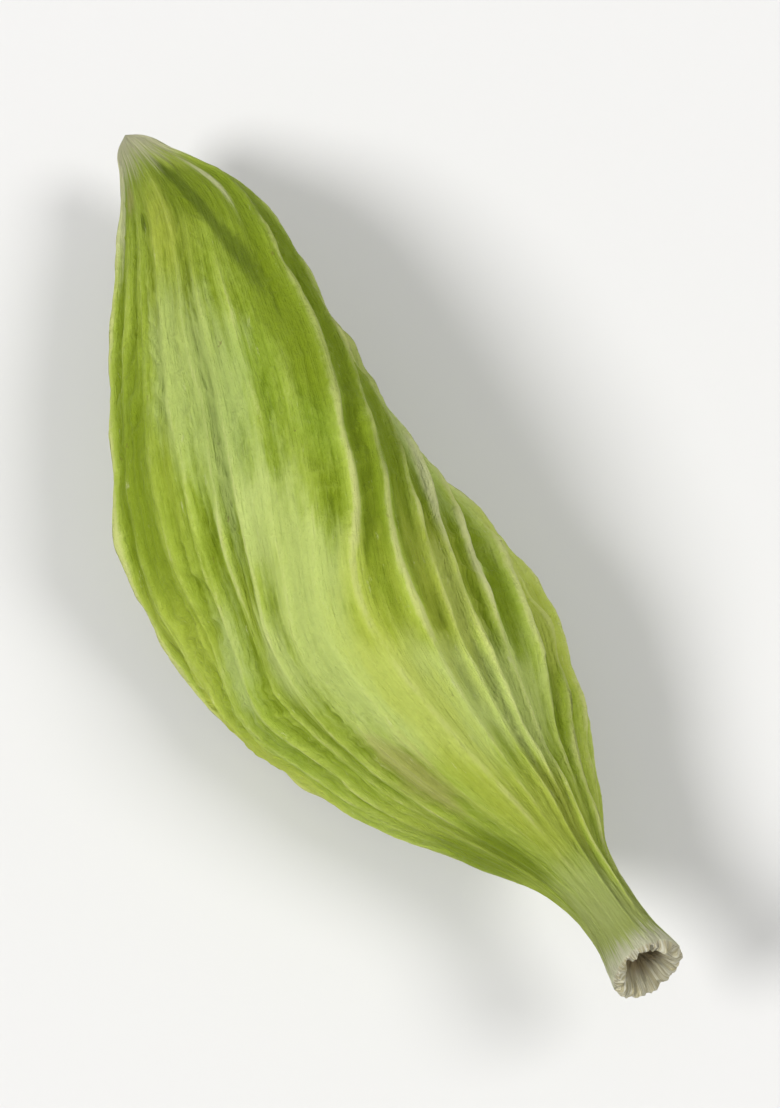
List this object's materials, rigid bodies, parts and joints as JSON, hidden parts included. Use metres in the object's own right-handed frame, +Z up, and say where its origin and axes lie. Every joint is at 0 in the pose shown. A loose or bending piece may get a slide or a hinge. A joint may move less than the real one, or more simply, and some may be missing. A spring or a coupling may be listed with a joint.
{
  "type": "green cardamom pod",
  "caption": "Dried green cardamom pod lying on one of its three faces: ribbed, three-sided husk, pointed tip, and a short stalk with a hollow cut end.",
  "frame": {"origin": "middle of the pod's footprint, on the surface it rests on", "axes": "+X along the pod from its tip to the cut end of its stalk, +Y towards its strongly ribbed face, +Z up"},
  "size_m": [0.0172, 0.006, 0.0049],
  "materials": {
    "pod_skin": "dry papery fibrous husk, satin, yellow-green with paler ribs"
  },
  "bodies": {
    "root": {"pod": "pod_skin"}
  },
  "joints": []
}
